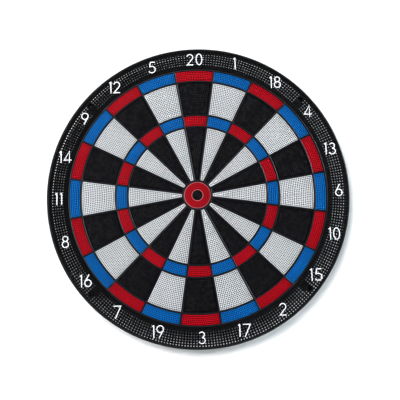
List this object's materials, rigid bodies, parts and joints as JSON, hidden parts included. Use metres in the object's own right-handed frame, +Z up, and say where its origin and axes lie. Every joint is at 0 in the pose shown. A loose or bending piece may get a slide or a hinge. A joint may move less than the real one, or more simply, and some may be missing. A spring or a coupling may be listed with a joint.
{
  "type": "soft-tip dartboard",
  "caption": "Round soft-tip dartboard with perforated sprung segments in a moulded spider, a perforated number ring and a drum-shaped back cover with a keyhole hanger.",
  "frame": {"origin": "centre of the board on the wall plane, where the back cover's hub touches the wall", "axes": "+Z up through the 20, +Y into the wall, so the face looks along -Y; +X is to the right as seen from the front"},
  "size_m": [0.4618, 0.03, 0.4618],
  "materials": {
    "ring_plastic": "satin moulded ABS",
    "spider_plastic": "satin moulded ABS",
    "black_segment": "fine moulded grain",
    "white_segment": "fine moulded grain",
    "red_segment": "fine moulded grain",
    "blue_segment": "fine moulded grain",
    "numerals": "raised and hot-stamped white",
    "cover_plastic": "moulded grain",
    "sponge": "closed-cell sponge",
    "zinc_steel": "zinc plated",
    "screw_black": "black oxide"
  },
  "bodies": {
    "board": {"number_ring": "ring_plastic", "spider": "spider_plastic", "backing_pad": "sponge", "back_cover": "cover_plastic", "ring_screw_1": "screw_black", "ring_screw_2": "screw_black", "ring_screw_3": "screw_black", "ring_screw_4": "screw_black", "hanger_plate": "zinc_steel", "hanger_screw_1": "zinc_steel", "hanger_screw_2": "zinc_steel"},
    "outer_single_20": {"outer_single_20": "black_segment"},
    "outer_single_1": {"outer_single_1": "white_segment"},
    "outer_single_18": {"outer_single_18": "black_segment"},
    "outer_single_4": {"outer_single_4": "white_segment"},
    "outer_single_13": {"outer_single_13": "black_segment"},
    "outer_single_6": {"outer_single_6": "white_segment"},
    "outer_single_10": {"outer_single_10": "black_segment"},
    "outer_single_15": {"outer_single_15": "white_segment"},
    "outer_single_2": {"outer_single_2": "black_segment"},
    "outer_single_17": {"outer_single_17": "white_segment"},
    "outer_single_3": {"outer_single_3": "black_segment"},
    "outer_single_19": {"outer_single_19": "white_segment"},
    "outer_single_7": {"outer_single_7": "black_segment"},
    "outer_single_16": {"outer_single_16": "white_segment"},
    "outer_single_8": {"outer_single_8": "black_segment"},
    "outer_single_11": {"outer_single_11": "white_segment"},
    "outer_single_14": {"outer_single_14": "black_segment"},
    "outer_single_9": {"outer_single_9": "white_segment"},
    "outer_single_12": {"outer_single_12": "black_segment"},
    "outer_single_5": {"outer_single_5": "white_segment"},
    "inner_single_20": {"inner_single_20": "black_segment"},
    "inner_single_1": {"inner_single_1": "white_segment"},
    "inner_single_18": {"inner_single_18": "black_segment"},
    "inner_single_4": {"inner_single_4": "white_segment"},
    "inner_single_13": {"inner_single_13": "black_segment"},
    "inner_single_6": {"inner_single_6": "white_segment"},
    "inner_single_10": {"inner_single_10": "black_segment"},
    "inner_single_15": {"inner_single_15": "white_segment"},
    "inner_single_2": {"inner_single_2": "black_segment"},
    "inner_single_17": {"inner_single_17": "white_segment"},
    "inner_single_3": {"inner_single_3": "black_segment"},
    "inner_single_19": {"inner_single_19": "white_segment"},
    "inner_single_7": {"inner_single_7": "black_segment"},
    "inner_single_16": {"inner_single_16": "white_segment"},
    "inner_single_8": {"inner_single_8": "black_segment"},
    "inner_single_11": {"inner_single_11": "white_segment"},
    "inner_single_14": {"inner_single_14": "black_segment"},
    "inner_single_9": {"inner_single_9": "white_segment"},
    "inner_single_12": {"inner_single_12": "black_segment"},
    "inner_single_5": {"inner_single_5": "white_segment"},
    "double_red": {"double_red": "red_segment"},
    "double_blue": {"double_blue": "blue_segment"},
    "triple_red": {"triple_red": "red_segment"},
    "triple_blue": {"triple_blue": "blue_segment"},
    "outer_bull": {"outer_bull": "red_segment"},
    "inner_bull": {"inner_bull": "black_segment"}
  },
  "joints": [
    {"name": "outer_single_20_press", "type": "slide", "parent": "board", "child": "outer_single_20", "axis": [0, 1, 0], "range_m": [0, 0.0012], "stiffness_N_per_m": 400, "springref_m": -0.001},
    {"name": "outer_single_1_press", "type": "slide", "parent": "board", "child": "outer_single_1", "axis": [0, 1, 0], "range_m": [0, 0.0012], "stiffness_N_per_m": 400, "springref_m": -0.001},
    {"name": "outer_single_18_press", "type": "slide", "parent": "board", "child": "outer_single_18", "axis": [0, 1, 0], "range_m": [0, 0.0012], "stiffness_N_per_m": 400, "springref_m": -0.001},
    {"name": "outer_single_4_press", "type": "slide", "parent": "board", "child": "outer_single_4", "axis": [0, 1, 0], "range_m": [0, 0.0012], "stiffness_N_per_m": 400, "springref_m": -0.001},
    {"name": "outer_single_13_press", "type": "slide", "parent": "board", "child": "outer_single_13", "axis": [0, 1, 0], "range_m": [0, 0.0012], "stiffness_N_per_m": 400, "springref_m": -0.001},
    {"name": "outer_single_6_press", "type": "slide", "parent": "board", "child": "outer_single_6", "axis": [0, 1, 0], "range_m": [0, 0.0012], "stiffness_N_per_m": 400, "springref_m": -0.001},
    {"name": "outer_single_10_press", "type": "slide", "parent": "board", "child": "outer_single_10", "axis": [0, 1, 0], "range_m": [0, 0.0012], "stiffness_N_per_m": 400, "springref_m": -0.001},
    {"name": "outer_single_15_press", "type": "slide", "parent": "board", "child": "outer_single_15", "axis": [0, 1, 0], "range_m": [0, 0.0012], "stiffness_N_per_m": 400, "springref_m": -0.001},
    {"name": "outer_single_2_press", "type": "slide", "parent": "board", "child": "outer_single_2", "axis": [0, 1, 0], "range_m": [0, 0.0012], "stiffness_N_per_m": 400, "springref_m": -0.001},
    {"name": "outer_single_17_press", "type": "slide", "parent": "board", "child": "outer_single_17", "axis": [0, 1, 0], "range_m": [0, 0.0012], "stiffness_N_per_m": 400, "springref_m": -0.001},
    {"name": "outer_single_3_press", "type": "slide", "parent": "board", "child": "outer_single_3", "axis": [0, 1, 0], "range_m": [0, 0.0012], "stiffness_N_per_m": 400, "springref_m": -0.001},
    {"name": "outer_single_19_press", "type": "slide", "parent": "board", "child": "outer_single_19", "axis": [0, 1, 0], "range_m": [0, 0.0012], "stiffness_N_per_m": 400, "springref_m": -0.001},
    {"name": "outer_single_7_press", "type": "slide", "parent": "board", "child": "outer_single_7", "axis": [0, 1, 0], "range_m": [0, 0.0012], "stiffness_N_per_m": 400, "springref_m": -0.001},
    {"name": "outer_single_16_press", "type": "slide", "parent": "board", "child": "outer_single_16", "axis": [0, 1, 0], "range_m": [0, 0.0012], "stiffness_N_per_m": 400, "springref_m": -0.001},
    {"name": "outer_single_8_press", "type": "slide", "parent": "board", "child": "outer_single_8", "axis": [0, 1, 0], "range_m": [0, 0.0012], "stiffness_N_per_m": 400, "springref_m": -0.001},
    {"name": "outer_single_11_press", "type": "slide", "parent": "board", "child": "outer_single_11", "axis": [0, 1, 0], "range_m": [0, 0.0012], "stiffness_N_per_m": 400, "springref_m": -0.001},
    {"name": "outer_single_14_press", "type": "slide", "parent": "board", "child": "outer_single_14", "axis": [0, 1, 0], "range_m": [0, 0.0012], "stiffness_N_per_m": 400, "springref_m": -0.001},
    {"name": "outer_single_9_press", "type": "slide", "parent": "board", "child": "outer_single_9", "axis": [0, 1, 0], "range_m": [0, 0.0012], "stiffness_N_per_m": 400, "springref_m": -0.001},
    {"name": "outer_single_12_press", "type": "slide", "parent": "board", "child": "outer_single_12", "axis": [0, 1, 0], "range_m": [0, 0.0012], "stiffness_N_per_m": 400, "springref_m": -0.001},
    {"name": "outer_single_5_press", "type": "slide", "parent": "board", "child": "outer_single_5", "axis": [0, 1, 0], "range_m": [0, 0.0012], "stiffness_N_per_m": 400, "springref_m": -0.001},
    {"name": "inner_single_20_press", "type": "slide", "parent": "board", "child": "inner_single_20", "axis": [0, 1, 0], "range_m": [0, 0.0012], "stiffness_N_per_m": 400, "springref_m": -0.001},
    {"name": "inner_single_1_press", "type": "slide", "parent": "board", "child": "inner_single_1", "axis": [0, 1, 0], "range_m": [0, 0.0012], "stiffness_N_per_m": 400, "springref_m": -0.001},
    {"name": "inner_single_18_press", "type": "slide", "parent": "board", "child": "inner_single_18", "axis": [0, 1, 0], "range_m": [0, 0.0012], "stiffness_N_per_m": 400, "springref_m": -0.001},
    {"name": "inner_single_4_press", "type": "slide", "parent": "board", "child": "inner_single_4", "axis": [0, 1, 0], "range_m": [0, 0.0012], "stiffness_N_per_m": 400, "springref_m": -0.001},
    {"name": "inner_single_13_press", "type": "slide", "parent": "board", "child": "inner_single_13", "axis": [0, 1, 0], "range_m": [0, 0.0012], "stiffness_N_per_m": 400, "springref_m": -0.001},
    {"name": "inner_single_6_press", "type": "slide", "parent": "board", "child": "inner_single_6", "axis": [0, 1, 0], "range_m": [0, 0.0012], "stiffness_N_per_m": 400, "springref_m": -0.001},
    {"name": "inner_single_10_press", "type": "slide", "parent": "board", "child": "inner_single_10", "axis": [0, 1, 0], "range_m": [0, 0.0012], "stiffness_N_per_m": 400, "springref_m": -0.001},
    {"name": "inner_single_15_press", "type": "slide", "parent": "board", "child": "inner_single_15", "axis": [0, 1, 0], "range_m": [0, 0.0012], "stiffness_N_per_m": 400, "springref_m": -0.001},
    {"name": "inner_single_2_press", "type": "slide", "parent": "board", "child": "inner_single_2", "axis": [0, 1, 0], "range_m": [0, 0.0012], "stiffness_N_per_m": 400, "springref_m": -0.001},
    {"name": "inner_single_17_press", "type": "slide", "parent": "board", "child": "inner_single_17", "axis": [0, 1, 0], "range_m": [0, 0.0012], "stiffness_N_per_m": 400, "springref_m": -0.001},
    {"name": "inner_single_3_press", "type": "slide", "parent": "board", "child": "inner_single_3", "axis": [0, 1, 0], "range_m": [0, 0.0012], "stiffness_N_per_m": 400, "springref_m": -0.001},
    {"name": "inner_single_19_press", "type": "slide", "parent": "board", "child": "inner_single_19", "axis": [0, 1, 0], "range_m": [0, 0.0012], "stiffness_N_per_m": 400, "springref_m": -0.001},
    {"name": "inner_single_7_press", "type": "slide", "parent": "board", "child": "inner_single_7", "axis": [0, 1, 0], "range_m": [0, 0.0012], "stiffness_N_per_m": 400, "springref_m": -0.001},
    {"name": "inner_single_16_press", "type": "slide", "parent": "board", "child": "inner_single_16", "axis": [0, 1, 0], "range_m": [0, 0.0012], "stiffness_N_per_m": 400, "springref_m": -0.001},
    {"name": "inner_single_8_press", "type": "slide", "parent": "board", "child": "inner_single_8", "axis": [0, 1, 0], "range_m": [0, 0.0012], "stiffness_N_per_m": 400, "springref_m": -0.001},
    {"name": "inner_single_11_press", "type": "slide", "parent": "board", "child": "inner_single_11", "axis": [0, 1, 0], "range_m": [0, 0.0012], "stiffness_N_per_m": 400, "springref_m": -0.001},
    {"name": "inner_single_14_press", "type": "slide", "parent": "board", "child": "inner_single_14", "axis": [0, 1, 0], "range_m": [0, 0.0012], "stiffness_N_per_m": 400, "springref_m": -0.001},
    {"name": "inner_single_9_press", "type": "slide", "parent": "board", "child": "inner_single_9", "axis": [0, 1, 0], "range_m": [0, 0.0012], "stiffness_N_per_m": 400, "springref_m": -0.001},
    {"name": "inner_single_12_press", "type": "slide", "parent": "board", "child": "inner_single_12", "axis": [0, 1, 0], "range_m": [0, 0.0012], "stiffness_N_per_m": 400, "springref_m": -0.001},
    {"name": "inner_single_5_press", "type": "slide", "parent": "board", "child": "inner_single_5", "axis": [0, 1, 0], "range_m": [0, 0.0012], "stiffness_N_per_m": 400, "springref_m": -0.001},
    {"name": "double_red_press", "type": "slide", "parent": "board", "child": "double_red", "axis": [0, 1, 0], "range_m": [0, 0.0012], "stiffness_N_per_m": 2000, "springref_m": -0.001},
    {"name": "double_blue_press", "type": "slide", "parent": "board", "child": "double_blue", "axis": [0, 1, 0], "range_m": [0, 0.0012], "stiffness_N_per_m": 2000, "springref_m": -0.001},
    {"name": "triple_red_press", "type": "slide", "parent": "board", "child": "triple_red", "axis": [0, 1, 0], "range_m": [0, 0.0012], "stiffness_N_per_m": 2000, "springref_m": -0.001},
    {"name": "triple_blue_press", "type": "slide", "parent": "board", "child": "triple_blue", "axis": [0, 1, 0], "range_m": [0, 0.0012], "stiffness_N_per_m": 2000, "springref_m": -0.001},
    {"name": "outer_bull_press", "type": "slide", "parent": "board", "child": "outer_bull", "axis": [0, 1, 0], "range_m": [0, 0.0012], "stiffness_N_per_m": 400, "springref_m": -0.001},
    {"name": "inner_bull_press", "type": "slide", "parent": "board", "child": "inner_bull", "axis": [0, 1, 0], "range_m": [0, 0.0012], "stiffness_N_per_m": 400, "springref_m": -0.001}
  ]
}
